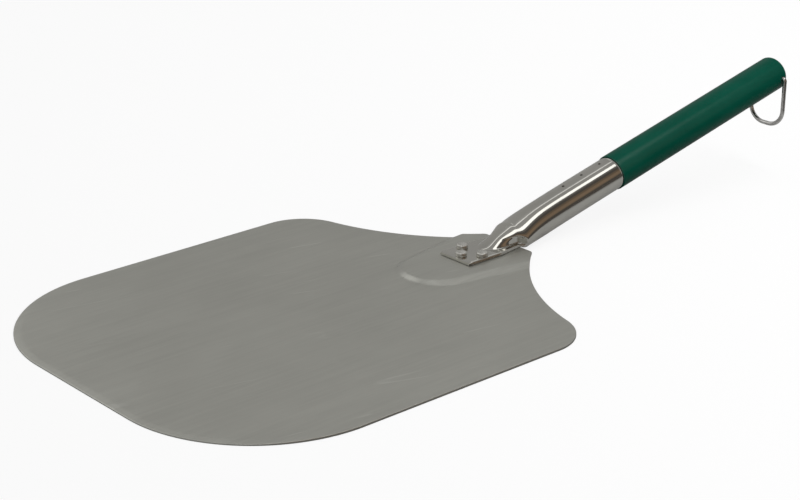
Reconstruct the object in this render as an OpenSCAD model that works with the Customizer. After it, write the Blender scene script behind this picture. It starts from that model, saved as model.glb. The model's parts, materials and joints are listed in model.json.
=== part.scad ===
// Pizza peel: sheet blade, riveted tube ferrule, turned wooden grip and a swinging wire bail.
// X runs across the blade, +Y from the blade towards the grip, +Z up.
// The origin is at the plan centre of the blade's flat underside, which rests on z = 0.

/* [Blade] */
// Width of the blade across its parallel sides
blade_w = 304.8; // [280:0.1:330]
// Length of the blade from its straight front edge to the end of its neck
blade_l = 370.6; // [350:0.1:400]
// Thickness of the sheet
sheet_t = 1.6; // [1.2:0.1:2]
// Radius of the two front corners
front_r = 101.3; // [80:0.1:110]
// Radius of the two rear corners
shoulder_r = 37.8; // [30:0.1:42]
// Distance from the front edge to the centres of the rear corners
shoulder_y = 268.2; // [260:0.1:275]
// Radius of the hollow sweep between a rear corner and the neck
sweep_r = 175.9; // [170:0.1:180]
// Direction from a rear corner's centre to its sweep's centre, turned from +X
sweep_angle = 76.3; // [75.5:0.1:77]
// Radius of the neck's two small corners
tail_r = 4; // [2:0.5:6]
// Width of the ground bevel along the front edge
front_bevel_w = 5; // [3:0.5:8]
// Drop of the ground bevel at the front edge
front_bevel_h = 0.5; // [0.2:0.1:0.7]

/* [Platform] */
// Height that the neck and the platform are raised
platform_h = 2.8; // [2:0.1:3.2]
// Radius of the platform's round front, at its foot
platform_r = 30.3; // [29:0.1:32]
// Distance from the end of the neck to the centre of the round front
platform_y = 70.1; // [68:0.1:74]
// Half width of the platform's foot at the end of the neck
platform_flare = 43; // [41:0.5:45]
// Width of the sloping side, seen from above
slope_w = 5.2; // [4:0.1:6]

/* [Ferrule] */
// Outer radius of the tube
tube_r = 13.15; // [13:0.05:13.4]
// Wall of the tube
tube_wall = 1; // [0.8:0.1:1.2]
// Rise of the tube and grip towards their free end, in degrees
tilt = 12.65; // [12.4:0.05:13]
// Height of the tube's axis above the end of the neck
axis_z = 9.25; // [9.1:0.05:9.6]
// Distance along the axis from the end of the neck to the ferrule's mouth
mouth_s = 110.2; // [105:0.1:115]
// Thickness of the tang, which is the tube's two walls pressed together
tang_t = 2.4; // [2:0.1:2.6]
// Length of the tang from its front edge to the end of the neck
tang_l = 54.3; // [52:0.1:56]
// Half width of the tang at its front edge
tang_front = 15.6; // [15:0.1:16.5]
// Half width of the tang beside the crease
tang_waist = 12.6; // [12:0.1:13]
// Length over which the tang narrows
tang_taper = 31; // [28:1:34]
// Distance from the end of the neck to the tip of the crease
crease_l = 29.3; // [28:0.1:31]
// Radius of the crease at its wide end
crease_r = 8.5; // [8:0.1:9]

/* [Rivets] */
// Radius of a rivet's head
head_r = 4.2; // [4:0.1:4.5]
// Height of a rivet's head
head_h = 3.2; // [2.8:0.1:3.4]
// Radius of a rivet's shank
shank_r = 2.4; // [2:0.1:2.6]
// Radius of the set tail below the platform
tail_head_r = 3.7; // [3.4:0.1:4]
// Height of the set tail
tail_head_h = 1.6; // [1.2:0.1:1.8]
// Half the distance between the two rear rivets
rivet_x = 10.5; // [10:0.1:11]
// Distance from the tang's front edge to the front rivet
rivet_front_y = 6.5; // [6:0.1:7]
// Distance from the tang's front edge to the rear rivets
rivet_rear_y = 17.3; // [17:0.1:18]

/* [Grip] */
// Radius of the grip
grip_r = 13.88; // [13.6:0.01:14]
// Length of the grip outside the ferrule
grip_l = 198; // [190:0.5:205]
// Radius of the rounding at the grip's free end
grip_round = 5; // [4:0.5:6]
// Length of the tenon inside the ferrule
tenon_l = 62; // [60:1:64]
// Gap between the tenon and the tube, on the radius
tenon_gap = 0.05; // [0.02:0.01:0.1]

/* [Pins] */
// Distance from the ferrule's mouth to the first pin
pin_first = 10.8; // [10:0.1:12]
// Spacing of the pins
pin_pitch = 19.8; // [18:0.1:21]
// Radius of a pin's head
pin_head_r = 1.1; // [0.9:0.1:1.3]
// Radius of a pin's shank
pin_shank_r = 0.7; // [0.5:0.1:0.8]
// Depth of a pin below the tube's surface
pin_l = 9; // [7:0.5:11]

/* [Bail] */
// Radius of the bail's wire
wire_r = 1.7; // [1.5:0.05:1.8]
// Distance of each leg's centre line from the middle
leg_x = 16.1; // [16:0.1:17]
// Distance from the pivot down to the middle of the cross wire
bail_drop = 40.4; // [38:0.1:42]
// Radius of the bail's two lower bends, on the centre line
lower_bend = 13.5; // [12:0.5:14]
// Radius of the turned-in bends, on the centre line
upper_bend = 2.2; // [2:0.1:2.4]
// Length of wire inside the grip, on each side
inner_end = 9; // [7:0.5:11]
// Distance from the grip's free end to the cross hole
hole_s = 8.3; // [7.5:0.1:10]
// Running gap between the wire and the cross hole, on the radius
hinge_gap = 0.07; // [0.05:0.01:0.09]

/* [Hidden] */
$fn = 96;
hull_fn = 32;
cut = 1;
sliver = 0.01;
fit_gap = 0.03;
floor_gap = 0.6;
front_y = -blade_l / 2;
neck_y = blade_l / 2;
corner_y = front_y + shoulder_y;
corner_x = blade_w / 2 - shoulder_r;
sweep_x = corner_x + (shoulder_r + sweep_r) * cos(sweep_angle);
sweep_y = corner_y + (shoulder_r + sweep_r) * sin(sweep_angle);
tail_y = neck_y - tail_r;
tail_x = sweep_x - sqrt(pow(sweep_r + tail_r, 2) - pow(sweep_y - tail_y, 2));
tail_turn = sweep_r / (sweep_r + tail_r);
platform_top = platform_h + sheet_t;
tang_top = platform_top + tang_t;
tang_y = neck_y - tang_l;
pinch_y = neck_y + 0.3;
bore_r = tube_r - tube_wall;
bore_end = 24;
throat_r = 8.5;
throat_s = 6;
grip_end = mouth_s + grip_l;
pivot_s = grip_end - hole_s;
pivot_y = neck_y + pivot_s * cos(tilt);
pivot_z = axis_z + pivot_s * sin(tilt);
wire_z = pivot_z - bail_drop;
rivet_names = ["rivet_front", "rivet_left", "rivet_right"];
rivet_spots = [
  [0, tang_y + rivet_front_y],
  [-rivet_x, tang_y + rivet_rear_y],
  [rivet_x, tang_y + rivet_rear_y]
];
pin_names = ["pin_upper", "pin_middle", "pin_lower"];

// Puts its children's z axis on the tube's axis, with z = 0 at distance s from the end of the neck.
module on_axis(s) {
  translate([0, neck_y, axis_z])
    rotate([tilt - 90, 0, 0])
      translate([0, 0, s])
        children();
}

// Draws its children on both sides of the middle plane.
module both_sides() {
  children();
  mirror([1, 0, 0]) children();
}

// Outline of the flat sheet, seen from above.
module blade_plan() {
  difference() {
    union() {
      translate([front_r - blade_w / 2, front_y]) square([blade_w - 2 * front_r, front_r + cut]);
      translate([-blade_w / 2, front_y + front_r]) square([blade_w, shoulder_y - front_r]);
      both_sides() {
        translate([blade_w / 2 - front_r, front_y + front_r]) circle(front_r);
        translate([corner_x, corner_y]) circle(shoulder_r);
        translate([tail_x, tail_y]) circle(tail_r);
      }
      neck_plan();
    }
    both_sides() translate([sweep_x, sweep_y]) circle(sweep_r, $fn = 360);
  }
}

// The straight-sided stretch that the two hollow sweeps are cut from.
module neck_plan() {
  shoulder_touch = [corner_x + shoulder_r * cos(sweep_angle), corner_y + shoulder_r * sin(sweep_angle)];
  tail_touch = [sweep_x + (tail_x - sweep_x) * tail_turn, sweep_y + (tail_y - sweep_y) * tail_turn];
  both_sides()
    polygon([
      [-cut, corner_y - cut],
      [corner_x, corner_y - cut],
      [corner_x, corner_y],
      shoulder_touch,
      tail_touch,
      [tail_x, tail_y],
      [tail_x, neck_y],
      [-cut, neck_y]
    ]);
}

// The raised form, from height z_low to the platform's height, wider the lower it starts.
module platform_form(z_low) {
  hull($fn = hull_fn)
    for (z = [z_low, platform_h - sliver]) {
      inset = slope_w * z / platform_h;
      translate([0, neck_y - platform_y, z]) cylinder(h = sliver, r = platform_r - inset, $fn = 64);
      translate([inset - platform_flare, neck_y, z]) cube([2 * (platform_flare - inset), cut, sliver]);
    }
}

// Stamped sheet blade with its platform and the recess below it.
module blade() {
  color([0.51, 0.51, 0.49])
    difference() {
      union() {
        linear_extrude(sheet_t) blade_plan();
        intersection() {
          translate([0, 0, sheet_t]) platform_form(-sheet_t / 2);
          linear_extrude(platform_top + cut) blade_plan();
        }
      }
      platform_form(-sheet_t / 2);
      for (spot = rivet_spots) translate([spot[0], spot[1], 0]) cylinder(h = platform_top + cut, r = shank_r + fit_gap);
      front_bevel();
    }
}

// The wedge ground off the top of the front edge.
module front_bevel() {
  translate([0, front_y, sheet_t - front_bevel_h])
    rotate([atan(front_bevel_h / front_bevel_w), 0, 0])
      translate([-blade_w / 2, -cut, 0])
        cube([blade_w, front_bevel_w + 2 * cut, 2 * cut]);
}

// Tube that is pressed flat into a tang, with a crease that fades out along it.
module ferrule() {
  color([0.75, 0.75, 0.74])
    difference() {
      union() {
        tang();
        crease();
        tube_outside();
      }
      on_axis(bore_end) cylinder(h = mouth_s, r = bore_r);
      on_axis(throat_s) cylinder(h = mouth_s, r = throat_r);
      for (i = [0:2]) pin_at(i) cylinder(h = 2 * cut + tube_wall, r = pin_head_r + fit_gap, center = true);
      for (spot = rivet_spots) translate([spot[0], spot[1], 0]) cylinder(h = tang_top + cut, r = shank_r + fit_gap);
    }
}

// Flat plate that lies on the platform.
module tang() {
  translate([0, 0, platform_top])
    linear_extrude(tang_t)
      both_sides()
        polygon([
          [0, tang_y],
          [tang_front, tang_y],
          [tang_waist, tang_y + tang_taper],
          [tang_waist, pinch_y],
          [0, pinch_y]
        ]);
}

// Ridge where the tube's upper wall runs down to the tang.
module crease() {
  crease_top = axis_z + tube_r / cos(tilt) - 1.6;
  intersection() {
    hull($fn = hull_fn) {
      translate([0, neck_y - crease_l + 1, platform_top + 1]) sphere(1.2);
      translate([0, pinch_y, crease_top - crease_r]) rotate([90, 0, 0]) cylinder(h = sliver, r = crease_r);
    }
    translate([-tube_r, neck_y - tang_l, platform_top]) cube([2 * tube_r, tang_l + cut, 2 * tube_r]);
  }
}

// Round tube, cut off at the pinch and flattened a little where its heel passes the floor.
module tube_outside() {
  intersection() {
    on_axis(-tube_r) cylinder(h = mouth_s + tube_r, r = tube_r);
    translate([-2 * tube_r, pinch_y - sliver, floor_gap]) cube([4 * tube_r, 2 * mouth_s, 2 * mouth_s]);
  }
}

// Rivet: a head with a rounded shoulder, a shank, and the set tail below the platform.
module rivet(i) {
  shoulder = 1.3;
  color([0.45, 0.45, 0.43])
    translate([rivet_spots[i][0], rivet_spots[i][1], 0]) {
      translate([0, 0, tang_top])
        rotate_extrude() {
          square([head_r, head_h - shoulder]);
          square([head_r - shoulder, head_h]);
          translate([head_r - shoulder, head_h - shoulder]) circle(shoulder);
        }
      translate([0, 0, platform_h - tail_head_h]) cylinder(h = tail_head_h, r = tail_head_r);
      translate([0, 0, platform_h - tail_head_h]) cylinder(h = tang_top - platform_h + tail_head_h, r = shank_r);
    }
}

// Turned wooden grip with its tenon and cross hole.
module grip() {
  tenon_r = bore_r - tenon_gap;
  color([0.06, 0.33, 0.27])
    difference() {
      union() {
        on_axis(mouth_s - tenon_l) cylinder(h = tenon_l + cut, r = tenon_r);
        on_axis(mouth_s)
          rotate_extrude() {
            square([grip_r, grip_l - grip_round]);
            square([grip_r - grip_round, grip_l]);
            translate([grip_r - grip_round, grip_l - grip_round]) circle(grip_round);
          }
      }
      at_pivot() cylinder(h = 4 * grip_r, r = wire_r + hinge_gap, center = true);
      for (i = [0:2]) pin_at(i) translate([0, 0, -pin_l - cut]) cylinder(h = pin_l + 2 * cut, r = pin_shank_r + fit_gap);
    }
}

// Puts its children at the cross hole, with their z axis along X.
module at_pivot() {
  translate([0, pivot_y, pivot_z]) rotate([0, 90, 0]) children();
}

// Puts its children on the top of the tube at pin i, with their z axis pointing out of it.
module pin_at(i) {
  on_axis(mouth_s - pin_first - i * pin_pitch)
    translate([0, -tube_r, 0])
      rotate([90, 0, 0])
        children();
}

// Small nail whose head fills the hole in the tube.
module pin(i) {
  proud = 0.2;
  color([0.3, 0.3, 0.3])
    pin_at(i) {
      translate([0, 0, -tube_wall]) cylinder(h = tube_wall + proud, r = pin_head_r, $fn = 48);
      translate([0, 0, -pin_l]) cylinder(h = pin_l - tube_wall + sliver, r = pin_shank_r, $fn = 48);
    }
}

// Quarter turn of wire in the XZ plane from angle a, round a centre at the local origin.
module wire_bend(bend_r, a) {
  rotate([90, 0, 0])
    rotate([0, 0, a])
      rotate_extrude(angle = 90)
        translate([bend_r, 0])
          circle(wire_r, $fn = 48);
}

// Straight wire of length l along the local +Z.
module wire(l) {
  cylinder(h = l, r = wire_r, $fn = 48);
}

// Hanging bail: one wire with two turned-in ends, two legs and a cross wire.
module bail() {
  leg_low = wire_z + lower_bend;
  leg_high = pivot_z - upper_bend;
  color([0.8, 0.8, 0.8]) {
    both_sides() {
      translate([leg_x - upper_bend - inner_end, pivot_y, pivot_z]) rotate([0, 90, 0]) wire(inner_end);
      translate([leg_x - upper_bend, pivot_y, leg_high]) wire_bend(upper_bend, 0);
      translate([leg_x, pivot_y, leg_low]) wire(leg_high - leg_low);
      translate([leg_x - lower_bend, pivot_y, leg_low]) wire_bend(lower_bend, -90);
    }
    translate([lower_bend - leg_x, pivot_y, wire_z]) rotate([0, 90, 0]) wire(2 * (leg_x - lower_bend));
  }
}

blade();
ferrule();
for (i = [0:2]) rivet(i);
grip();
for (i = [0:2]) pin(i);
bail();
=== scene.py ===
# Pizza peel: the looks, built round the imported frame. Everything is in metres and in the frame's own axes.
import json
import math
import bmesh
import bpy
import numpy as np
from mathutils import Matrix, Vector


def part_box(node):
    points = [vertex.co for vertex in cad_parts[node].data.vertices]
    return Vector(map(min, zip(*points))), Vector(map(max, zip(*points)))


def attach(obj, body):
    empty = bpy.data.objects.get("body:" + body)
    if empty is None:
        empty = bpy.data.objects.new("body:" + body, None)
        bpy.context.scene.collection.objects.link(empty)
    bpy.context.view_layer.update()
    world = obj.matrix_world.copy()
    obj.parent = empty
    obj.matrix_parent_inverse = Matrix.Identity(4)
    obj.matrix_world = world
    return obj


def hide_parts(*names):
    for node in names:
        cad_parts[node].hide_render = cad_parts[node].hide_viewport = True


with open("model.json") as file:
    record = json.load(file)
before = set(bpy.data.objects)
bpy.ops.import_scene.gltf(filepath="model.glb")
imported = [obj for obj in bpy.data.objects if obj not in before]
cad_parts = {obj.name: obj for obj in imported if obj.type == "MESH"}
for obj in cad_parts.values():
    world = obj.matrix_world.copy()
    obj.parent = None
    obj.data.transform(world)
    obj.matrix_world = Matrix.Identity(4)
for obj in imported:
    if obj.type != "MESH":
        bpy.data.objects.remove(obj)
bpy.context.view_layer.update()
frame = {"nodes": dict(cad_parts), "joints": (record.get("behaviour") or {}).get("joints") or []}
mm = 0.001

# Where the main pieces lie, read from the frame
bladeLow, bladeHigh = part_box("blade")
swing = next(j for j in frame["joints"] if j["name"] == "bail_swing")
pivot = np.array(swing["pos_m"])
neckY = bladeHigh.y
frontY = bladeLow.y
halfWidth = bladeHigh.x
print("frame loaded:", len(frame["nodes"]), "nodes")

# The tube's axis leaves the end of the neck at this height and rises at this angle
tubeLine = {
    "tilt": math.radians(12.65),
    "height": 9.25 * mm,
    "mouth": 110.2 * mm,
    "gripEnd": 308.17 * mm,
}
along = np.array([0, math.cos(tubeLine["tilt"]), math.sin(tubeLine["tilt"])])
upward = np.array([0, -math.sin(tubeLine["tilt"]), math.cos(tubeLine["tilt"])])
across = np.array([1.0, 0, 0])


# Rises from 0 to 1 with level ends: 3t2 - 2t3 on the clipped t.
def smoothStep(t):
    t = np.clip(t, 0, 1)
    return t * t * (3 - 2 * t)


# Meshes
def gridFaces(rows, cols, wrap):
    # Quads between neighbouring rows; the last column joins the first where wrap is true
    r = np.arange(rows - 1)[:, None]
    c = np.arange(cols if wrap else cols - 1)[None, :]
    n = (c + 1) % cols
    quads = np.stack([r * cols + c, r * cols + n, (r + 1) * cols + n, (r + 1) * cols + c], -1)
    return quads.reshape(-1, 4)


# Puts arrays of points and faces into a mesh, welds doubles, turns the faces outward and shades it smooth.
def meshPiece(name, points, quads, triangles=None, sharp=35):
    mesh = bpy.data.meshes.new(name)
    faces = quads.tolist() + ([] if triangles is None else triangles.tolist())
    mesh.from_pydata(points.tolist(), [], faces)
    bm = bmesh.new()
    bm.from_mesh(mesh)
    bmesh.ops.remove_doubles(bm, verts=bm.verts, dist=1e-7)
    bmesh.ops.dissolve_degenerate(bm, dist=1e-7, edges=bm.edges)
    if bm.calc_volume(signed=True) < 0:
        bmesh.ops.reverse_faces(bm, faces=bm.faces)
    bm.to_mesh(mesh)
    bm.free()
    mesh.polygons.foreach_set("use_smooth", np.ones(len(mesh.polygons), bool))
    mesh.set_sharp_from_angle(angle=math.radians(sharp))
    piece = bpy.data.objects.new(name, mesh)
    bpy.context.scene.collection.objects.link(piece)
    return piece


# Closed skin through rings, an array of rows by columns by 3: quads between rows, and a fan of triangles
# from the middle of the first and of the last row.
def closedTube(name, rings, sharp=35):
    rows, cols = rings.shape[:2]
    points = rings.reshape(-1, 3)
    middles = np.stack([rings[0].mean(0), rings[-1].mean(0)])
    c = np.arange(cols)
    n = (c + 1) % cols
    first = np.stack([np.full(cols, rows * cols), n, c], -1)
    last = np.stack([np.full(cols, rows * cols + 1), (rows - 1) * cols + c, (rows - 1) * cols + n], -1)
    allPoints = np.concatenate([points, middles])
    return meshPiece(name, allPoints, gridFaces(rows, cols, True), np.concatenate([first, last]), sharp)


# Surface of revolution: each (distance, radius) of the profile is carried round the axis, point = origin +
# distance * axis + radius * (cos a * side + sin a * other).
def revolve(name, profile, origin, axis, side, segments, sharp=35):
    other = np.cross(axis, side)
    a = np.linspace(0, 2 * np.pi, segments, endpoint=False)
    ring = np.cos(a)[:, None] * side + np.sin(a)[:, None] * other
    rings = origin + profile[:, 0, None, None] * axis + profile[:, 1, None, None] * ring[None]
    return closedTube(name, rings, sharp)


def arcPoints(centre, radius, start, end, count):
    # Points on a circle from angle start to angle end, in degrees
    a = np.radians(np.linspace(start, end, count))
    return np.stack([centre[0] + radius * np.cos(a), centre[1] + radius * np.sin(a)], -1)


def finishPiece(piece, material, body, nodes):
    piece.data.materials.clear()
    piece.data.materials.append(material)
    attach(piece, body)
    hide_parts(*nodes)
    return piece


# Shader node groups
def newGroup(name, inputs, outputs):
    group = bpy.data.node_groups.new(name, "ShaderNodeTree")
    for label, kind, value in inputs:
        socket = group.interface.new_socket(label, in_out="INPUT", socket_type=kind)
        if value is not None:
            socket.default_value = value
    for label, kind in outputs:
        group.interface.new_socket(label, in_out="OUTPUT", socket_type=kind)
    return group, group.nodes.new("NodeGroupInput"), group.nodes.new("NodeGroupOutput")


# Adds a node, sets its properties and socket values, and links other nodes' sockets to its inputs.
def addNode(tree, kind, values=None, links=None, **settings):
    node = tree.nodes.new(kind)
    for key, value in settings.items():
        setattr(node, key, value)
    for key, value in (values or {}).items():
        node.inputs[key].default_value = value
    for key, source in (links or {}).items():
        tree.links.new(source, node.inputs[key])
    return node


def mathNode(tree, operation, a, b=None, clamp=False):
    node = tree.nodes.new("ShaderNodeMath")
    node.operation = operation
    node.use_clamp = clamp
    for index, value in enumerate([a, b]):
        if value is None:
            continue
        if isinstance(value, (int, float)):
            node.inputs[index].default_value = value
        else:
            tree.links.new(value, node.inputs[index])
    return node.outputs[0]


def spread(tree, value, low, high, newLow, newHigh):
    # Linear change of range, clipped
    ends = {"From Min": low, "From Max": high, "To Min": newLow, "To Max": newHigh}
    node = addNode(tree, "ShaderNodeMapRange", ends, {"Value": value})
    return node.outputs["Result"]


def mixColour(tree, factor, a, b, blend="MIX"):
    node = tree.nodes.new("ShaderNodeMix")
    node.data_type = "RGBA"
    node.blend_type = blend
    for index, value in ((0, factor), (6, a), (7, b)):
        if isinstance(value, (tuple, list)):
            node.inputs[index].default_value = (*value, 1)
        elif isinstance(value, (int, float)):
            node.inputs[index].default_value = value
        else:
            tree.links.new(value, node.inputs[index])
    return node.outputs[2]


# Long streaks: fine noise stretched along Y, in two sizes, plus soft cloudy patches.
def grainGroup():
    tree, source, sink = newGroup(
        "rolledGrain",
        [("Vector", "NodeSocketVector", None), ("Fineness", "NodeSocketFloat", 900.0),
         ("Length", "NodeSocketFloat", 0.02), ("Patch Size", "NodeSocketFloat", 9.0)],
        [("Streaks", "NodeSocketFloat"), ("Hairs", "NodeSocketFloat"), ("Patches", "NodeSocketFloat")])
    squeeze = addNode(tree, "ShaderNodeCombineXYZ", {"X": 1.0, "Z": 1.0}, {"Y": source.outputs["Length"]})
    stretched = addNode(tree, "ShaderNodeVectorMath",
                        links={0: source.outputs["Vector"], 1: squeeze.outputs[0]}, operation="MULTIPLY")
    streaks = addNode(tree, "ShaderNodeTexNoise", {"Detail": 6.0, "Roughness": 0.62},
                      {"Vector": stretched.outputs[0], "Scale": source.outputs["Fineness"]})
    hairScale = mathNode(tree, "MULTIPLY", source.outputs["Fineness"], 4.5)
    hairs = addNode(tree, "ShaderNodeTexNoise", {"Detail": 3.0, "Roughness": 0.5},
                    {"Vector": stretched.outputs[0], "Scale": hairScale})
    patches = addNode(tree, "ShaderNodeTexNoise", {"Detail": 4.0, "Roughness": 0.55},
                      {"Vector": source.outputs["Vector"], "Scale": source.outputs["Patch Size"]})
    tree.links.new(streaks.outputs["Fac"], sink.inputs["Streaks"])
    tree.links.new(hairs.outputs["Fac"], sink.inputs["Hairs"])
    tree.links.new(patches.outputs["Fac"], sink.inputs["Patches"])
    return tree


# Sparse fine scratches: thin contour lines of a stretched, warped noise, kept only inside random patches.
def scratchGroup():
    tree, source, sink = newGroup(
        "fineScratches",
        [("Vector", "NodeSocketVector", None), ("Scale", "NodeSocketFloat", 30.0),
         ("Turn", "NodeSocketFloat", 0.3), ("Width", "NodeSocketFloat", 0.004)],
        [("Scratches", "NodeSocketFloat")])
    turn = addNode(tree, "ShaderNodeVectorRotate",
                   links={"Vector": source.outputs["Vector"], "Angle": source.outputs["Turn"]},
                   rotation_type="Z_AXIS")
    stretch = addNode(tree, "ShaderNodeVectorMath", {1: (1.0, 0.06, 1.0)}, {0: turn.outputs[0]},
                      operation="MULTIPLY")
    noise = addNode(tree, "ShaderNodeTexNoise", {"Detail": 2.0, "Roughness": 0.4, "Distortion": 0.1},
                    {"Vector": stretch.outputs[0], "Scale": source.outputs["Scale"]})
    away = mathNode(tree, "ABSOLUTE", mathNode(tree, "SUBTRACT", noise.outputs["Fac"], 0.5))
    offLine = mathNode(tree, "DIVIDE", away, source.outputs["Width"])
    line = mathNode(tree, "SUBTRACT", 1.0, offLine, clamp=True)
    where = addNode(tree, "ShaderNodeTexNoise", {"Scale": 24.0, "Detail": 2.0},
                    {"Vector": source.outputs["Vector"]})
    kept = spread(tree, where.outputs["Fac"], 0.56, 0.64, 0.0, 1.0)
    tree.links.new(mathNode(tree, "MULTIPLY", line, kept), sink.inputs["Scratches"])
    return tree


rolledGrain = grainGroup()
fineScratches = scratchGroup()


def newMaterial(name):
    material = bpy.data.materials.new(name)
    material.use_nodes = True
    tree = material.node_tree
    shader = tree.nodes["Principled BSDF"]
    place = tree.nodes.new("ShaderNodeTexCoord")
    return material, tree, shader, place.outputs["Object"]


def useGroup(tree, group, vector, **values):
    node = tree.nodes.new("ShaderNodeGroup")
    node.node_tree = group
    tree.links.new(vector, node.inputs["Vector"])
    for key, value in values.items():
        node.inputs[key.replace("_", " ")].default_value = value
    return node


def bumpInto(tree, shader, height, strength, distance):
    bump = addNode(tree, "ShaderNodeBump", {"Strength": strength, "Distance": distance}, {"Height": height})
    tree.links.new(bump.outputs["Normal"], shader.inputs["Normal"])


# Blade
bladeShape = {
    "thick": 1.6 * mm,
    "frontRadius": 101.3 * mm,
    "shoulderRadius": 37.8 * mm,
    "shoulderY": 268.2 * mm,          # from the front edge
    "sweepRadius": 175.9 * mm,
    "sweepAngle": 76.3,
    "tailRadius": 4 * mm,
    "edgeRound": 0.45 * mm,
    "bevelWidth": 5 * mm,
    "bevelDrop": 0.5 * mm,
    "platformHeight": 2.8 * mm,
    "platformRadius": 30.3 * mm,
    "platformBack": 70.1 * mm,        # from the end of the neck to the round front's centre
    "platformFlare": 43 * mm,
    "slopeWidth": 5.2 * mm,
    "spineFront": 110 * mm,           # ends of the middle line that the grid runs to, and the half width
    "spineBack": 14 * mm,             # round it that has the finer grid
    "spineHalf": 46 * mm,
    "narrowFrom": 30 * mm,            # the set distances shrink towards the neck's end
    "narrowLength": 22 * mm,
    "narrowShare": 0.6,
}


# Right half of the outline from the middle of the front edge to the middle of the neck's end: straight,
# corner arc, straight, shoulder arc, hollow arc, small arc, straight. Returns points, outward normals and
# the share of the ground front bevel at each point.
def bladeOutline():
    b = bladeShape
    shoulder = np.array([halfWidth - b["shoulderRadius"], frontY + b["shoulderY"]])
    angle = math.radians(b["sweepAngle"])
    reach = b["shoulderRadius"] + b["sweepRadius"]
    sweep = shoulder + reach * np.array([math.cos(angle), math.sin(angle)])
    tail = np.array([0, neckY - b["tailRadius"]])
    tail[0] = sweep[0] - math.sqrt((b["sweepRadius"] + b["tailRadius"]) ** 2 - (sweep[1] - tail[1]) ** 2)
    tailAngle = math.degrees(math.atan2(sweep[1] - tail[1], sweep[0] - tail[0]))
    corner = np.array([halfWidth - b["frontRadius"], frontY + b["frontRadius"]])
    pieces = [
        np.linspace([0, frontY], [corner[0], frontY], 22),
        arcPoints(corner, b["frontRadius"], -90, 0, 60),
        np.linspace([halfWidth, corner[1]], [halfWidth, shoulder[1]], 34),
        arcPoints(shoulder, b["shoulderRadius"], 0, b["sweepAngle"], 44),
        arcPoints(sweep, b["sweepRadius"], 180 + b["sweepAngle"], 180 + tailAngle, 112),
        arcPoints(tail, b["tailRadius"], tailAngle, 90, 9),
        np.linspace([tail[0], neckY], [0, neckY], 14),
    ]
    def turned(start, end, count):
        a = np.radians(np.linspace(start, end, count))
        return np.stack([np.cos(a), np.sin(a)], -1)
    normals = [
        turned(-90, -90, 22), turned(-90, 0, 60), turned(0, 0, 34), turned(0, b["sweepAngle"], 44),
        turned(b["sweepAngle"], tailAngle, 112), turned(tailAngle, 90, 9), turned(90, 90, 14),
    ]
    keep = [p[:-1] for p in pieces[:-1]] + [pieces[-1]]
    keepNormals = [n[:-1] for n in normals[:-1]] + [normals[-1]]
    points = np.concatenate(keep)
    outward = np.concatenate(keepNormals)
    bevelShare = smoothStep((-outward[:, 1] - 0.25) / 0.6)
    return points, outward, bevelShare


# Height of the raised neck at (x, y): a slope whose foot is a circle with two flaring tangent lines,
# followed by distance inwards from that foot, with both ends of the slope eased.
def platformRise(x, y):
    b = bladeShape
    px, py = np.abs(x), y - (neckY - b["platformBack"])
    # The side line leaves the circle at a tangent and reaches the flare at the end of the neck
    reach = math.hypot(b["platformFlare"], b["platformBack"])
    lean = math.asin(b["platformRadius"] / reach)
    lineAngle = math.atan2(b["platformBack"], b["platformFlare"])
    normalAngle = lineAngle - (math.pi / 2 - lean)
    normal = (math.cos(normalAngle), math.sin(normalAngle))
    beyond = -normal[1] * px + normal[0] * py
    inside = b["platformRadius"] - np.where(beyond > 0, px * normal[0] + py * normal[1], np.hypot(px, py))
    t = np.clip(inside / b["slopeWidth"], -0.2, 1.2)
    ease = 0.22
    # Straight slope with a parabola of length 2*ease*width at the foot and at the crest
    low = np.clip(t + ease / 2, 0, ease) ** 2 / (2 * ease)
    high = np.clip(1 + ease / 2 - t, 0, ease) ** 2 / (2 * ease)
    rise = np.where(t < 0.5, np.where(t < ease / 2, low, t), np.where(t > 1 - ease / 2, 1 - high, t))
    return b["platformHeight"] * np.clip(rise, 0, 1)


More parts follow.
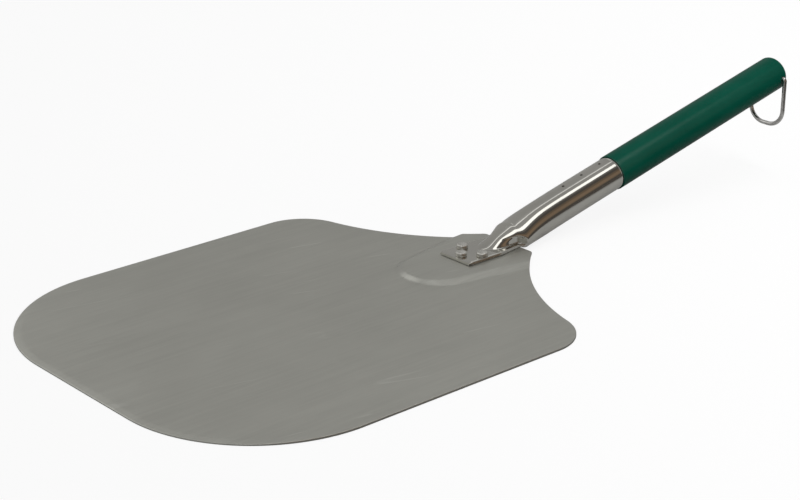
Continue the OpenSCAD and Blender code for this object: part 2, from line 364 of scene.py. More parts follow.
# Sheet between two height functions on one plan grid. The grid runs along the outline and, across it, first
# inwards by set distances and then straight to the middle line.
def makeBlade():
    b = bladeShape
    edge, outward, bevelShare = bladeOutline()
    steps = np.array([0, 0.05, 0.14, 0.28, 0.45, 1.2, 2.5, 3.8, 5.0, 6.3, 8.0]) * mm
    towardsNeck = smoothStep((edge[:, 1] - (neckY - b["narrowFrom"])) / b["narrowLength"])
    narrow = 1 - b["narrowShare"] * towardsNeck
    narrowed = b["edgeRound"] + (steps[None] - b["edgeRound"]) * narrow[:, None]
    inset = np.where(steps[None] <= b["edgeRound"], steps[None], narrowed)
    rim = edge[:, None] - outward[:, None] * inset[..., None]
    inner = rim[:, -1]
    spineY = np.clip(inner[:, 1], frontY + b["spineFront"], neckY - b["spineBack"])
    middleX = np.minimum(b["spineHalf"], 0.9 * inner[:, 0])
    outerShare = np.linspace(0, 1, 12)[1:]
    innerShare = np.linspace(0, 1, 48)[1:]
    wide = np.maximum(inner[:, 0], 1e-9)
    toMiddle = 1 - middleX / wide
    share = np.concatenate([outerShare[None] * toMiddle[:, None],
                            toMiddle[:, None] + innerShare[None] * (1 - toMiddle[:, None])], 1)
    fieldX = inner[:, None, 0] * (1 - share)
    fieldY = inner[:, None, 1] * (1 - share) + spineY[:, None] * share
    x = np.concatenate([rim[..., 0], fieldX], 1)
    y = np.concatenate([rim[..., 1], fieldY], 1)
    depth = np.concatenate([inset, np.full(share.shape, 1.0)], 1)
    rise = platformRise(x, y)
    fromRim = np.clip(b["edgeRound"] - depth, 0, None)
    rounding = b["edgeRound"] - np.sqrt(np.maximum(b["edgeRound"] ** 2 - fromRim ** 2, 0))
    bevel = b["bevelDrop"] * np.clip(1 - depth / b["bevelWidth"], 0, 1) * bevelShare[:, None]
    top = b["thick"] + rise - rounding - bevel
    bottom = rise + rounding * 0.6
    rows, cols = x.shape
    half = np.concatenate([np.stack([x, y, bottom], -1)[:, ::-1], np.stack([x, y, top], -1)], 1)
    mirrored = half * np.array([-1, 1, 1])
    quads = gridFaces(rows, half.shape[1], False)
    points = np.concatenate([half.reshape(-1, 3), mirrored.reshape(-1, 3)])
    faces = np.concatenate([quads, quads[:, ::-1] + rows * half.shape[1]])
    return meshPiece("blade_sheet", points, faces, sharp=40)


# Ferrule
ferruleShape = {
    "radius": 13.15 * mm,
    "platformTop": 4.4 * mm,
    "tangThick": 2.4 * mm,
    "tangFront": 15.5 * mm,
    "tangWaist": 12.9 * mm,
    "tangLength": 54.3 * mm,
    "waistFrom": 24 * mm,             # the plate narrows to its waist from here, in front of the neck's end
    "waistLength": 23 * mm,
    "creaseLength": 29.6 * mm,
    "creaseSlope": 0.40,
    "creaseBend": 3.0,                # per metre of run, on top of the slope
    "creaseHalf": 10.4 * mm,
    "joinFrom": 4 * mm,               # the crest runs into the tube's top from here, before the neck's end
    "joinLength": 9 * mm,
    "creaseEase": 4.2 * mm,
    "creaseFull": 0.92,               # how far the flank turns, as a share of an arc through foot and top
    "footRadius": 1.1 * mm,
    "crownRadius": 16.5 * mm,         # the three radii of the squeezed tube behind the pinch
    "cheekRadius": 12.3 * mm,
    "lobeRadius": 6.6 * mm,
    "squeezed": 3.4 * mm,             # how much lower its top is at the neck's end, and how fast that fades
    "squeezedFade": 15.9 * mm,
    "openFrom": 5 * mm,               # where the squeezed tube starts to open to the round one, and how
    "openLength": 13.9 * mm,
    "openPower": 1.57,
    "uprightTo": 4 * mm,              # sections stand upright up to here, then turn square to the tube
    "turnLength": 30 * mm,
    "pinchLength": 7 * mm,            # over which the sides let go of the pressed shape
    "crownLead": 15 * mm,             # how much earlier and longer the crown does
    "seamDepth": 0.4 * mm,
}
# Points of half a section in each of its stretches
underCount, edgeCount, plateCount, footCount, flankCount, crownCount = 12, 9, 10, 8, 4, 26


# Pressed section at each station y, half of it: under the plate from the middle, round the plate's edge,
# over the plate, up the crease's foot fillet, its straight flank and its crown. The crown is the squeezed
# tube's outline made smaller; its size and the flank's length solve size * outline + flank * direction +
# fillet = foot to top. run is the distance behind the crease's tip and h the crease's height there; in
# front of the tip the section stays flat.
def pressedSections(y, run, h):
    f = ferruleShape
    low = f["platformTop"] + 0.02 * mm
    high = f["platformTop"] + f["tangThick"]
    fromNeck = y - neckY
    toWaist = smoothStep((fromNeck + f["waistFrom"]) / f["waistLength"])
    w = f["tangFront"] + (f["tangWaist"] - f["tangFront"]) * toWaist
    half = f["creaseHalf"] * (1 - np.exp(-run / f["creaseEase"]))
    flat = np.where(fromNeck < -f["creaseLength"], 0.0, 1.0)
    angle = np.minimum(f["creaseFull"] * 2 * np.arctan2(h, half), math.radians(90))
    foot = np.minimum(f["footRadius"], 0.12 * (half ** 2 + h ** 2) / h)
    c, s = np.cos(angle), np.sin(angle)
    fullX, fullDown = squeezedOutline(angle)
    spanX, spanZ = half - foot * s, h - foot * (1 - c)
    size = (spanX * s - spanZ * c) / (fullX * s - fullDown * c)
    flank = (fullX * spanZ - fullDown * spanX) / (fullX * s - fullDown * c)
    one = np.ones_like(y)[:, None]
    e = f["tangThick"] * 0.35
    turn = np.radians(np.linspace(-90, 90, edgeCount))[None]
    t1 = np.linspace(0, 1, underCount, endpoint=False)[None]
    underX, underZ = (w - e)[:, None] * t1, low * one + 0 * t1
    # The two flattened layers leave a fine seam along the edge
    seam = f["seamDepth"] * np.exp(-(turn / 0.2) ** 2)
    edgeX = (w - e)[:, None] + e * np.cos(turn) - seam
    edgeZ = (low + high) / 2 * one + (high - low) / 2 * np.sin(turn)
    t3 = np.linspace(0, 1, plateCount + 1)[None, 1:]
    plateX = (w - e)[:, None] + (half - (w - e))[:, None] * t3
    plateZ = high * one + 0 * t3
    a = angle[:, None] * np.linspace(0, 1, footCount + 1)[None, 1:]
    footX = half[:, None] - foot[:, None] * np.sin(a)
    footZ = high + foot[:, None] * (1 - np.cos(a))
    t5 = np.linspace(0, 1, flankCount + 1)[None, 1:] * flank[:, None]
    flankX = footX[:, -1:] - t5 * np.cos(angle)[:, None]
    flankZ = footZ[:, -1:] + t5 * np.sin(angle)[:, None]
    a = angle[:, None] * np.linspace(1, 0, crownCount + 1)[None, 1:]
    crownX, crownDown = squeezedOutline(a)
    crownX = crownX * size[:, None]
    crownZ = high + h[:, None] - crownDown * size[:, None]
    x = np.concatenate([underX, edgeX, plateX, footX, flankX, crownX], 1)
    z = np.concatenate([underZ, edgeZ, plateZ, footZ, flankZ, crownZ], 1)
    z = high + (z - high) * np.where(z > high, flat[:, None], 1)
    return x, z


# Section of the tube at angle "turned" from its top: the squeezed outline has the radius of curvature
# crown, cheek, lobe in turn, joined by smooth steps, and its points are the running sums of radius * cos
# and radius * sin.
def squeezedOutline(turned):
    f = ferruleShape
    fine = np.radians(np.linspace(0, 180, 721))
    degrees = np.degrees(fine)
    bend = f["lobeRadius"] + (f["cheekRadius"] - f["lobeRadius"]) * (1 - smoothStep((degrees - 76) / 16))
    bend = bend + (f["crownRadius"] - f["cheekRadius"]) * (1 - smoothStep((degrees - 42) / 9))
    step = fine[1] - fine[0]
    wide = bend * np.cos(fine)
    drop = bend * np.sin(fine)
    x = np.concatenate([[0], np.cumsum((wide[1:] + wide[:-1]) / 2 * step)])
    down = np.concatenate([[0], np.cumsum((drop[1:] + drop[:-1]) / 2 * step)])
    return np.interp(turned, fine, x), np.interp(turned, fine, down)


# One skin carried along the tube. In front of the neck's end it is the pressed section, behind it the
# squeezed tube, which opens to the round one: share of round = 1 - exp(-(run / openLength) ** openPower).
def makeFerrule():
    f = ferruleShape
    tangY = neckY - f["tangLength"]
    mouthY = neckY + tubeLine["mouth"] * math.cos(tubeLine["tilt"])
    y = np.concatenate([
        np.linspace(tangY, neckY - 30 * mm, 10, endpoint=False),
        np.linspace(neckY - 30 * mm, neckY - 2.4 * mm, 56, endpoint=False),
        np.linspace(neckY - 2.4 * mm, neckY + 7 * mm, 40, endpoint=False),
        np.linspace(neckY + 7 * mm, neckY + 34 * mm, 34, endpoint=False),
        np.linspace(neckY + 34 * mm, mouthY - 0.3 * mm, 30),
    ])
    fromNeck = y - neckY
    tilt = tubeLine["tilt"]
    planeTilt = tilt * smoothStep((fromNeck - f["uprightTo"]) / f["turnLength"])
    stretch = 1 / np.cos(tilt - planeTilt)
    axisZ = tubeLine["height"] + fromNeck * math.tan(tilt)
    # Top line of the squeezed tube, and of the crease, which gives way to it round the neck's end
    lowered = f["squeezed"] * np.exp(-np.maximum(fromNeck, -14 * mm) / f["squeezedFade"])
    top = f["radius"] * stretch - lowered
    run = np.maximum(fromNeck + f["creaseLength"], 0.02 * mm)
    rise = f["creaseSlope"] * run + f["creaseBend"] * run * run
    high = f["platformTop"] + f["tangThick"]
    joined = smoothStep((fromNeck + f["joinFrom"]) / f["joinLength"])
    crest = (high + rise) * (1 - joined) + (axisZ + top) * joined
    top = top + (crest - axisZ - top) * (1 - joined)
    hatX, hatZ = pressedSections(y, run, crest - high)
    # Angle from the top of each of the half section's points, and how many lie on the flat underside
    flatCount = 4
    turned = np.radians(np.concatenate([
        np.full(flatCount, 180.0),
        np.linspace(180, 132, underCount - flatCount, endpoint=False),
        np.linspace(132, 112, edgeCount),
        np.linspace(112, 98, plateCount + 1)[1:],
        np.linspace(98, 89, footCount + 1)[1:],
        np.linspace(89, 84, flankCount + 1)[1:],
        np.linspace(84, 0, crownCount + 1)[1:],
    ]))
    opened = 1 - np.exp(-(np.maximum(fromNeck - f["openFrom"], 0) / f["openLength"]) ** f["openPower"])
    squeezedX, squeezedDown = squeezedOutline(turned)
    tubeX = squeezedX * (1 - opened)[:, None] + f["radius"] * np.sin(turned) * opened[:, None]
    tubeX[:, :flatCount] *= np.arange(flatCount) / flatCount
    tubeDown = squeezedDown * (1 - opened)[:, None] + f["radius"] * (1 - np.cos(turned)) * opened[:, None]
    direction = np.stack([0 * y, -np.sin(planeTilt), np.cos(planeTilt)], -1)
    lift = top[:, None] - tubeDown * stretch[:, None]
    centre = np.stack([0 * y, y, axisZ], -1)
    tube3 = centre[:, None] + tubeX[..., None] * across + lift[..., None] * direction[:, None]
    hat3 = np.stack([hatX, np.broadcast_to(y[:, None], hatX.shape), hatZ], -1)
    # The sides let go of the pressed shape over a few millimetres at the pinch, the crown over a longer way
    crown = smoothStep((np.radians(84) - turned) / np.radians(40))
    upper = smoothStep((np.radians(112) - turned) / np.radians(20))
    start = -1.4 * mm * upper - f["crownLead"] * crown
    length = f["pinchLength"] + f["crownLead"] * crown
    mix = smoothStep((fromNeck[:, None] - start[None]) / length[None])[..., None]
    half = hat3 * (1 - mix) + tube3 * mix
    other = half[:, ::-1] * np.array([-1, 1, 1])
    rings = np.concatenate([half, other[:, 1:-1]], 1)
    # Rounded mouth, then the bore: distance from the mouth and radius, in millimetres
    mouth = neckPoint(tubeLine["mouth"])
    allTurned = np.concatenate([turned, -turned[::-1][1:-1]])
    circle = np.sin(allTurned)[:, None] * across + np.cos(allTurned)[:, None] * upward
    inward = [(-0.12, 13.1), (0, 12.95), (0, 12.3), (-0.15, 12.16), (-30, 12.16), (-30, 6)]
    rings = np.concatenate([rings, np.stack([mouth + s * mm * along + r * mm * circle for s, r in inward])])
    # Rounded front edge of the tang
    middle = np.array([0, tangY, f["platformTop"] + f["tangThick"] / 2])
    rings[0] = middle + (rings[0] - middle) * np.array([0.985, 1, 0.72])
    return closedTube("ferrule_tube", rings, sharp=50)


def neckPoint(s):
    # Point on the tube's axis at distance s from the end of the neck
    return np.array([0, neckY, tubeLine["height"]]) + s * along


# Rivets
rivetShape = {
    "headRadius": 4.2 * mm,
    "headHeight": 3.2 * mm,
    "shoulder": 1.15 * mm,
    "shank": 2.4 * mm,
    "tailRadius": 3.7 * mm,
    "tailHeight": 1.6 * mm,
    "crown": 0.25 * mm,
}


# Closed profile from the set tail's middle round to the head's crown, turned about the rivet's own axis.
def makeRivet(node, index):
    r = rivetShape
    low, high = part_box(node)
    origin = np.array([(low.x + high.x) / 2, (low.y + high.y) / 2, low.z])
    tangTop = high.z - low.z - r["headHeight"]
    recess = r["tailHeight"]
    turnMiddle = (tangTop + r["headHeight"] - r["crown"] - r["shoulder"], r["headRadius"] - r["shoulder"])
    head = arcPoints(turnMiddle, r["shoulder"], 90, 12, 9)
    crownR = np.linspace(r["headRadius"] - r["shoulder"] * 0.8, 0.2 * mm, 8)
    crownS = tangTop + r["headHeight"] - r["crown"] * (crownR / (r["headRadius"] - r["shoulder"])) ** 2
    profile = np.concatenate([
        [[0.05 * mm, 0.3 * mm], [0.02 * mm, r["tailRadius"] * 0.7]],
        arcPoints((0.5 * mm, r["tailRadius"] - 0.5 * mm), 0.5 * mm, 180, 90, 5),
        [[recess - 0.15 * mm, r["tailRadius"]], [recess, r["tailRadius"] - 0.15 * mm], [recess, r["shank"]]],
        [[tangTop, r["shank"]], [tangTop, r["headRadius"] - 0.25 * mm]],
        [[tangTop + 0.2 * mm, r["headRadius"] - 0.03 * mm], [tangTop + 0.9 * mm, r["headRadius"]]],
        head,
        np.stack([crownS, crownR], -1),
    ])
    axis = np.array([0, 0, 1.0])
    side = np.array([math.cos(index), math.sin(index), 0])
    return revolve(node + "_button", profile, origin, axis, side, 64, sharp=50)


# Grip
gripShape = {
    "radius": 13.87 * mm,
    "tenonRadius": 12.1 * mm,
    "tenonLength": 62 * mm,
    "endLong": 5.6 * mm,
    "endWide": 7.5 * mm,
    "shoulderRound": 0.6 * mm,
    "dimple": 0.45 * mm,
    "dimpleRadius": 3.0 * mm,
    "segments": 168,
}


# Turned profile carried round the tube's axis, with the skin drawn in a little round the two ends of the
# cross hole: depth falls off with the square of distance from the hole's middle.
def makeGrip():
    g = gripShape
    end = tubeLine["gripEnd"]
    mouth = tubeLine["mouth"]
    start = mouth - g["tenonLength"]
    holeS = float((pivot - neckPoint(0)) @ along)
    shoulderMiddle = (mouth + g["shoulderRound"], g["radius"] - g["shoulderRound"])
    # The end is a quarter of an ellipse
    a = np.radians(np.linspace(4, 90, 20))
    dome = np.stack([end - g["endLong"] * (1 - np.sin(a)), g["radius"] - g["endWide"] * (1 - np.cos(a))], -1)
    body = np.concatenate([
        np.linspace(mouth + g["shoulderRound"], holeS - 5 * mm, 60, endpoint=False),
        np.linspace(holeS - 5 * mm, end - g["endLong"], 26),
    ])
    profile = np.concatenate([
        [[start, 1 * mm], [start, g["tenonRadius"] - 0.8 * mm], [start + 0.8 * mm, g["tenonRadius"]]],
        [[mouth - 0.01 * mm, g["tenonRadius"]], [mouth, g["tenonRadius"] + 0.01 * mm]],
        arcPoints(shoulderMiddle, g["shoulderRound"], 180, 95, 6),
        np.stack([body, np.full(len(body), g["radius"])], -1),
        dome,
        [[end, 3 * mm], [end, 1 * mm]],
    ])
    other = np.cross(along, across)
    a = np.linspace(0, 2 * np.pi, g["segments"], endpoint=False)
    ring = np.cos(a)[:, None] * across + np.sin(a)[:, None] * other
    s, r = profile[:, 0, None], profile[:, 1, None] + 0 * a[None]
    aside = np.hypot(s - holeS, r * np.sin(a)[None])
    drawnIn = g["dimple"] * np.clip(1 - (aside / g["dimpleRadius"]) ** 2, 0, 1) ** 2
    r = r - drawnIn * (r > g["tenonRadius"] + 0.5 * mm)
    origin = neckPoint(0)
    rings = origin + (s + 0 * r)[..., None] * along + r[..., None] * ring[None]
    return closedTube("grip_turned", rings, sharp=40)


# Pins
pinShape = {"radius": 1.1 * mm, "shank": 0.7 * mm, "length": 9 * mm, "first": 10.8 * mm, "pitch": 19.8 * mm}


# Small nail: domed head that stands a little proud of the tube, and its shank, turned about its own axis.
def makePin(node, index):
    p = pinShape
    middle = neckPoint(tubeLine["mouth"] - p["first"] - index * p["pitch"]) + ferruleShape["radius"] * upward
    dome = np.radians(np.linspace(4, 88, 9))
    profile = np.concatenate([
        [[-p["length"], 0.1 * mm], [-p["length"] + 1.2 * mm, p["shank"]]],
        [[-1 * mm, p["shank"]], [-1 * mm, p["radius"]], [-0.12 * mm, p["radius"]]],
        np.stack([-0.1 * mm + 0.28 * mm * np.sin(dome), p["radius"] * np.cos(dome)], -1),
    ])
    return revolve(node + "_nail", profile, middle, upward, across, 32, sharp=50)


# Bail
bailShape = {
    "wire": 1.7 * mm,
    "legX": 16.1 * mm,
    "drop": 40.4 * mm,
    "lowerBend": 13.5 * mm,
    "upperBend": 2.2 * mm,
    "innerEnd": 9 * mm,
}


# Centre line of half the wire, from its end inside the grip to the middle of the cross wire: straight,
# tight bend, leg, wide bend, straight. Returns (x, z) points.
def bailPath():
    b = bailShape
    z = pivot[2]
    x = b["legX"]
    innerX = x - b["upperBend"] - b["innerEnd"]
    return np.concatenate([
        np.linspace([innerX, z], [x - b["upperBend"], z], 10, endpoint=False),
        arcPoints((x - b["upperBend"], z - b["upperBend"]), b["upperBend"], 90, 0, 14)[:-1],
        np.linspace([x, z - b["upperBend"]], [x, z - b["drop"] + b["lowerBend"]], 14, endpoint=False),
        arcPoints((x - b["lowerBend"], z - b["drop"] + b["lowerBend"]), b["lowerBend"], 0, -90, 34)[:-1],
        np.linspace([x - b["lowerBend"], z - b["drop"]], [0, z - b["drop"]], 5),
    ])


# Round wire carried along its centre line, which lies in one plane, so each ring is spanned by Y and by the
# line's own normal. The two cut ends are slightly rounded.
def makeBail():
    b = bailShape
    half = bailPath()
    path = np.concatenate([half, half[::-1][1:] * np.array([-1, 1])])
    path3 = np.stack([path[:, 0], np.full(len(path), pivot[1]), path[:, 1]], -1)
    tangent = np.gradient(path3, axis=0)
    tangent /= np.linalg.norm(tangent, axis=1)[:, None]
    sideways = np.array([0, 1.0, 0])
    normal = np.cross(tangent, sideways)
    a = np.linspace(0, 2 * np.pi, 28, endpoint=False)
    radius = np.full(len(path), b["wire"])
    radius[0] = radius[-1] = b["wire"] * 0.86
    path3[1] = path3[0] + tangent[0] * 0.25 * mm
    path3[-2] = path3[-1] - tangent[-1] * 0.25 * mm
    ring = np.cos(a)[None, :, None] * sideways + np.sin(a)[None, :, None] * normal[:, None]
    return closedTube("bail_wire", path3[:, None] + radius[:, None, None] * ring, sharp=50)


# Materials
def bladeMaterial():
    look = {"dark": (0.475, 0.475, 0.44), "light": (0.56, 0.56, 0.52), "scratch": (0.72, 0.72, 0.68)}
    material, tree, shader, place = newMaterial("rolledAluminium")
    grain = useGroup(tree, rolledGrain, place, Fineness=420.0, Length=0.035, Patch_Size=11.0)
    marks = useGroup(tree, fineScratches, place, Scale=26.0, Turn=0.25, Width=0.006)
    streak = spread(tree, grain.outputs["Streaks"], 0.3, 0.7, 0.0, 1.0)
    patch = spread(tree, grain.outputs["Patches"], 0.35, 0.65, 0.0, 1.0)
    tone = mathNode(tree, "ADD", mathNode(tree, "MULTIPLY", streak, 0.65),
                    mathNode(tree, "MULTIPLY", patch, 0.35))
    colour = mixColour(tree, tone, look["dark"], look["light"])
    lighter = mathNode(tree, "MULTIPLY", marks.outputs["Scratches"], 0.35)
    scratched = mixColour(tree, lighter, colour, look["scratch"])
    tree.links.new(scratched, shader.inputs["Base Color"])
    rough = mathNode(tree, "ADD", spread(tree, grain.outputs["Streaks"], 0.3, 0.7, 0.44, 0.52),
                     mathNode(tree, "MULTIPLY", marks.outputs["Scratches"], -0.12))
    # The pressing has burnished the sloping faces of the platform
    shape = tree.nodes.new("ShaderNodeNewGeometry")
    facing = addNode(tree, "ShaderNodeSeparateXYZ", links={0: shape.outputs["True Normal"]})
    sloping = spread(tree, facing.outputs["Z"], 0.90, 0.992, 1.0, 0.0)
    rough = mathNode(tree, "SUBTRACT", rough, mathNode(tree, "MULTIPLY", sloping, 0.17))
    tree.links.new(rough, shader.inputs["Roughness"])
    shader.inputs["Metallic"].default_value = 0.9
    height = mathNode(tree, "ADD", mathNode(tree, "MULTIPLY", grain.outputs["Hairs"], 0.6),
                      grain.outputs["Streaks"])
    deep = mathNode(tree, "SUBTRACT", height, mathNode(tree, "MULTIPLY", marks.outputs["Scratches"], 0.8))
    bumpInto(tree, shader, deep, 0.13, 0.00005)
    return material


def ferruleMaterial():
    look = {"base": (0.60, 0.588, 0.55), "haze": (0.555, 0.545, 0.51)}
    material, tree, shader, place = newMaterial("polishedTube")
    grain = useGroup(tree, rolledGrain, place, Fineness=700.0, Length=0.02, Patch_Size=40.0)
    marks = useGroup(tree, fineScratches, place, Scale=70.0, Turn=0.1, Width=0.006)
    haze = spread(tree, grain.outputs["Patches"], 0.4, 0.62, 0.0, 1.0)
    colour = mixColour(tree, haze, look["base"], look["haze"])
    tree.links.new(colour, shader.inputs["Base Color"])
    rough = mathNode(tree, "ADD", spread(tree, grain.outputs["Streaks"], 0.35, 0.65, 0.06, 0.10),
                     mathNode(tree, "MULTIPLY", marks.outputs["Scratches"], 0.1))
    tree.links.new(rough, shader.inputs["Roughness"])
    shader.inputs["Metallic"].default_value = 1.0
    bumpInto(tree, shader, grain.outputs["Streaks"], 0.06, 0.00003)
    return material


def rivetMaterial():
    look = {"base": (0.74, 0.73, 0.69), "dull": (0.55, 0.54, 0.51)}
    material, tree, shader, place = newMaterial("tumbledSteel")
    noise = addNode(tree, "ShaderNodeTexNoise", {"Scale": 900.0, "Detail": 5.0, "Roughness": 0.6},
                    {"Vector": place})
    dull = spread(tree, noise.outputs["Fac"], 0.42, 0.62, 0.0, 1.0)
    tree.links.new(mixColour(tree, dull, look["base"], look["dull"]), shader.inputs["Base Color"])
    tree.links.new(spread(tree, noise.outputs["Fac"], 0.3, 0.7, 0.24, 0.42), shader.inputs["Roughness"])
    shader.inputs["Metallic"].default_value = 1.0
    bumpInto(tree, shader, noise.outputs["Fac"], 0.18, 0.00006)
    return material


def gripMaterial():
    look = {"deep": (0.0009, 0.078, 0.048), "light": (0.0016, 0.093, 0.058)}
    material, tree, shader, place = newMaterial("greenPaint")
    grain = useGroup(tree, rolledGrain, place, Fineness=260.0, Length=0.05, Patch_Size=30.0)
    tone = mathNode(tree, "ADD", mathNode(tree, "MULTIPLY", grain.outputs["Patches"], 0.5),
                    mathNode(tree, "MULTIPLY", grain.outputs["Streaks"], 0.5))
    colour = mixColour(tree, spread(tree, tone, 0.38, 0.62, 0.0, 1.0), look["deep"], look["light"])
    tree.links.new(colour, shader.inputs["Base Color"])
    peel = addNode(tree, "ShaderNodeTexNoise", {"Scale": 1400.0, "Detail": 2.0}, {"Vector": place})
    rough = mathNode(tree, "ADD", spread(tree, grain.outputs["Patches"], 0.35, 0.65, 0.25, 0.30),
                     mathNode(tree, "MULTIPLY", peel.outputs["Fac"], 0.04))
    tree.links.new(rough, shader.inputs["Roughness"])
    # Matt paint: the sheen fades where the surface turns away
    turned = tree.nodes.new("ShaderNodeLayerWeight")
    sheen = spread(tree, turned.outputs["Facing"], 0.05, 0.3, 0.85, 0.06)
    tree.links.new(sheen, shader.inputs["Specular IOR Level"])
    height = mathNode(tree, "ADD", mathNode(tree, "MULTIPLY", grain.outputs["Streaks"], 1.0),
                      mathNode(tree, "MULTIPLY", peel.outputs["Fac"], 0.35))
    bumpInto(tree, shader, height, 0.12, 0.00012)
    return material


def pinMaterial():
    look = {"base": (0.09, 0.085, 0.08), "rust": (0.06, 0.045, 0.035)}
    material, tree, shader, place = newMaterial("dullNail")
    noise = addNode(tree, "ShaderNodeTexNoise", {"Scale": 2500.0, "Detail": 4.0}, {"Vector": place})
    colour = mixColour(tree, noise.outputs["Fac"], look["base"], look["rust"])
    tree.links.new(colour, shader.inputs["Base Color"])
    tree.links.new(spread(tree, noise.outputs["Fac"], 0.3, 0.7, 0.35, 0.55), shader.inputs["Roughness"])
    shader.inputs["Metallic"].default_value = 1.0
    bumpInto(tree, shader, noise.outputs["Fac"], 0.2, 0.00005)
    return material


def bailMaterial():
    look = {"base": (0.62, 0.61, 0.6), "haze": (0.5, 0.49, 0.47)}
    material, tree, shader, place = newMaterial("platedWire")
    noise = addNode(tree, "ShaderNodeTexNoise", {"Scale": 350.0, "Detail": 4.0, "Roughness": 0.55},
                    {"Vector": place})
    haze = spread(tree, noise.outputs["Fac"], 0.45, 0.65, 0.0, 1.0)
    tree.links.new(mixColour(tree, haze, look["base"], look["haze"]), shader.inputs["Base Color"])
    tree.links.new(spread(tree, noise.outputs["Fac"], 0.3, 0.7, 0.09, 0.2), shader.inputs["Roughness"])
    shader.inputs["Metallic"].default_value = 1.0
    bumpInto(tree, shader, noise.outputs["Fac"], 0.06, 0.00005)
    return material


# Build the pieces
finishPiece(makeBlade(), bladeMaterial(), "peel", ["blade"])
print("blade made")
finishPiece(makeFerrule(), ferruleMaterial(), "peel", ["ferrule"])
print("ferrule made")
rivetSteel = rivetMaterial()
for index, node in enumerate(["rivet_front", "rivet_left", "rivet_right"]):
    finishPiece(makeRivet(node, index), rivetSteel, "peel", [node])
nailSteel = pinMaterial()
for index, node in enumerate(["pin_upper", "pin_middle", "pin_lower"]):
    finishPiece(makePin(node, index), nailSteel, "peel", [node])
print("rivets and pins made")
finishPiece(makeGrip(), gripMaterial(), "peel", ["grip"])
finishPiece(makeBail(), bailMaterial(), "bail", ["bail"])
print("grip and bail made")

# Studio
studio = {
    "floorSize": 30.0,
    "floorSeen": 0.84,                # light the floor gives off to the camera, and its albedo there
    "floorAlbedo": (0.2, 0.2, 0.2),
    "floorOther": (0.13, 0.13, 0.13),
    "floorGloss": (0.58, 0.58, 0.57),
    "floorDark": (0.10, 0.09, 0.08),
    "worldSeen": (1.0, 1.0, 1.0),
    "worldLight": 0.36,
    "worldInGloss": (0.375, 0.372, 0.362),
    "softboxPower": 18.0,
    "softboxAngle": 22.2,
    "softboxAlong": 0.9,
    "softboxSize": (0.385, 3.2),
    "drumRadius": 1.3,
    # name, first and last angle round the tube's axis from its top towards +X, first and last place along the
    # axis in metres, light given off
    "tubeBands": [
        ("cardFront", -66, -28, -0.9, 0.2, (0.95, 0.95, 0.93)),
        ("cardBack", -66, -28, 1.2, 1.75, (0.66, 0.66, 0.65)),
        ("riseOuter", -24, -18, -0.7, 1.3, (0.42, 0.418, 0.41)),
        ("riseInner", -18, -13.6, -0.7, 1.3, (0.46, 0.458, 0.45)),
        ("thinStrip", -13.6, -9.4, -0.7, 1.3, (1.3, 1.3, 1.29)),
        ("softboxSeen", 14, 30.4, -0.7, 1.3, (1.8, 1.79, 1.76)),
        ("flagEdge", 31.5, 41, -0.8, 1.5, (0.17, 0.16, 0.15)),
        ("flagNear", 41, 56, -0.8, 1.5, (0.095, 0.085, 0.075)),
        ("flagNearWarm", 56, 67, -0.8, 1.5, (0.16, 0.12, 0.085)),
        ("flagBrown", 67, 85, -0.8, 1.5, (0.245, 0.175, 0.12)),
        ("flagFarWarm", 85, 90, -0.8, 1.5, (0.15, 0.12, 0.09)),
        ("flagFar", 90, 106, -0.8, 1.5, (0.09, 0.08, 0.07)),
    ],
}


# The floor is near white to the camera with a faint shadow, greyer as a source of bounced light, and dark
# in reflections beyond a line beside the tube.
def makeFloor():
    mesh = bpy.data.meshes.new("studio_floor")
    size = studio["floorSize"]
    corners = [(-size, -size, 0), (size, -size, 0), (size, size, 0), (-size, size, 0)]
    mesh.from_pydata(corners, [], [(0, 1, 2, 3)])
    floor = bpy.data.objects.new("studio_floor", mesh)
    bpy.context.scene.collection.objects.link(floor)
    material, tree, shader, place = newMaterial("paleFloor")
    path = tree.nodes.new("ShaderNodeLightPath")
    split = addNode(tree, "ShaderNodeSeparateXYZ", links={0: place})
    aside = spread(tree, split.outputs["X"], 0.07, 0.2, 0.0, 1.0)
    near = spread(tree, split.outputs["X"], 1.0, 1.6, 1.0, 0.0)
    beside = mathNode(tree, "MULTIPLY", aside, near)
    inGloss = mixColour(tree, beside, studio["floorGloss"], studio["floorDark"])
    other = mixColour(tree, path.outputs["Is Glossy Ray"], studio["floorOther"], inGloss)
    colour = mixColour(tree, path.outputs["Is Camera Ray"], other, studio["floorAlbedo"])
    tree.links.new(colour, shader.inputs["Base Color"])
    shader.inputs["Roughness"].default_value = 0.9
    shader.inputs["Specular IOR Level"].default_value = 0.0
    shader.inputs["Emission Color"].default_value = (1, 1, 1, 1)
    glow = mathNode(tree, "MULTIPLY", path.outputs["Is Camera Ray"], studio["floorSeen"])
    tree.links.new(glow, shader.inputs["Emission Strength"])
    mesh.materials.append(material)


# Part of a long drum round the tube's axis, seen only by polished metal
def makeBand(name, first, last, start, end, glow):
    angles = np.radians(np.linspace(first, last, 8))
    around = np.sin(angles)[:, None] * across + np.cos(angles)[:, None] * upward
    points = np.concatenate([neckPoint(s) + studio["drumRadius"] * around for s in (start, end)])
    mesh = bpy.data.meshes.new(name)
    mesh.from_pydata(points.tolist(), [], gridFaces(2, len(angles), False).tolist())
    band = bpy.data.objects.new(name, mesh)
    bpy.context.scene.collection.objects.link(band)
    material = bpy.data.materials.new(name)
    material.use_nodes = True
    tree = material.node_tree
    tree.nodes.clear()
    light = addNode(tree, "ShaderNodeEmission", {"Color": (*glow, 1), "Strength": 1.0})
    out = tree.nodes.new("ShaderNodeOutputMaterial")
    tree.links.new(light.outputs[0], out.inputs["Surface"])
    mesh.materials.append(material)
    band.visible_camera = False
    band.visible_diffuse = False
    band.visible_shadow = False
    band.visible_transmission = False


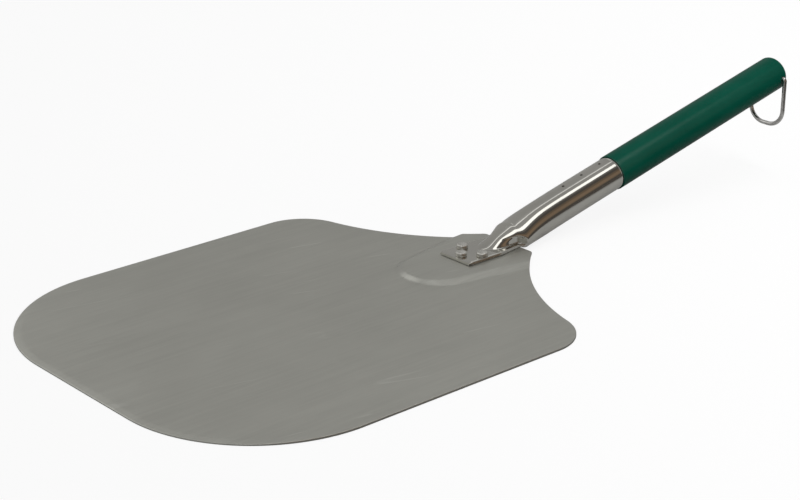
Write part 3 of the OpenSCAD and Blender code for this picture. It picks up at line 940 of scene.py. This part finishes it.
def makeWorld():
    world = bpy.data.worlds.new("studio")
    world.use_nodes = True
    bpy.context.scene.world = world
    tree = world.node_tree
    background = tree.nodes["Background"]
    path = tree.nodes.new("ShaderNodeLightPath")
    lit = mixColour(tree, path.outputs["Is Camera Ray"], (studio["worldLight"],) * 3, studio["worldSeen"])
    colour = mixColour(tree, path.outputs["Is Glossy Ray"], lit, studio["worldInGloss"])
    tree.links.new(colour, background.inputs["Color"])
    background.inputs["Strength"].default_value = 1.0


def areaLight(name, place, aim, size, power):
    light = bpy.data.lights.new(name, "AREA")
    light.shape = "RECTANGLE"
    light.size, light.size_y = size
    light.energy = power
    lamp = bpy.data.objects.new(name, light)
    bpy.context.scene.collection.objects.link(lamp)
    lamp.location = place
    lamp.rotation_mode = "QUATERNION"
    lamp.rotation_quaternion = (Vector(aim) - Vector(place)).to_track_quat("-Z", "Y")
    return lamp


makeWorld()
makeFloor()
for band in studio["tubeBands"]:
    makeBand(*band)
softAngle = math.radians(studio["softboxAngle"])
softAim = neckPoint(studio["softboxAlong"])
softSide = math.sin(softAngle) * across + math.cos(softAngle) * upward
softPlace = softAim + studio["drumRadius"] * softSide
softbox = areaLight("softboxTop", softPlace, softAim, studio["softboxSize"], studio["softboxPower"])
# Polished metal shows the softbox as one of the bands, so the lamp itself only lights
softbox.visible_glossy = False

# The camera looks at "aim" from the azimuth and elevation given and is rolled a little about its own axis
cameraPlace = {
    "aim": (-46.36 * mm, 119.72 * mm, 1.6 * mm),
    "azimuth": 48.47,
    "elevation": 21.606,
    "roll": 0.169,
    "distance": 1.46076,
    "lens": 90.04,
}


def makeCamera():
    c = cameraPlace
    camera = bpy.data.objects.new("camera", bpy.data.cameras.new("camera"))
    bpy.context.scene.collection.objects.link(camera)
    a, e, roll = (math.radians(c[key]) for key in ("azimuth", "elevation", "roll"))
    back = Vector((math.sin(a) * math.cos(e), -math.cos(a) * math.cos(e), math.sin(e)))
    level = Vector((math.cos(a), math.sin(a), 0))
    level90 = back.cross(level)
    right = level * math.cos(roll) + level90 * math.sin(roll)
    up = level90 * math.cos(roll) - level * math.sin(roll)
    camera.location = Vector(c["aim"]) + back * c["distance"]
    camera.rotation_mode = "QUATERNION"
    camera.rotation_quaternion = Matrix((right, up, back)).transposed().to_quaternion()
    camera.data.lens = c["lens"]
    camera.data.sensor_width = 36
    camera.data.clip_start = 0.05
    camera.data.clip_end = 100
    bpy.context.scene.camera = camera


makeCamera()
bpy.context.scene.view_settings.view_transform = "Standard"
print("studio and camera set")
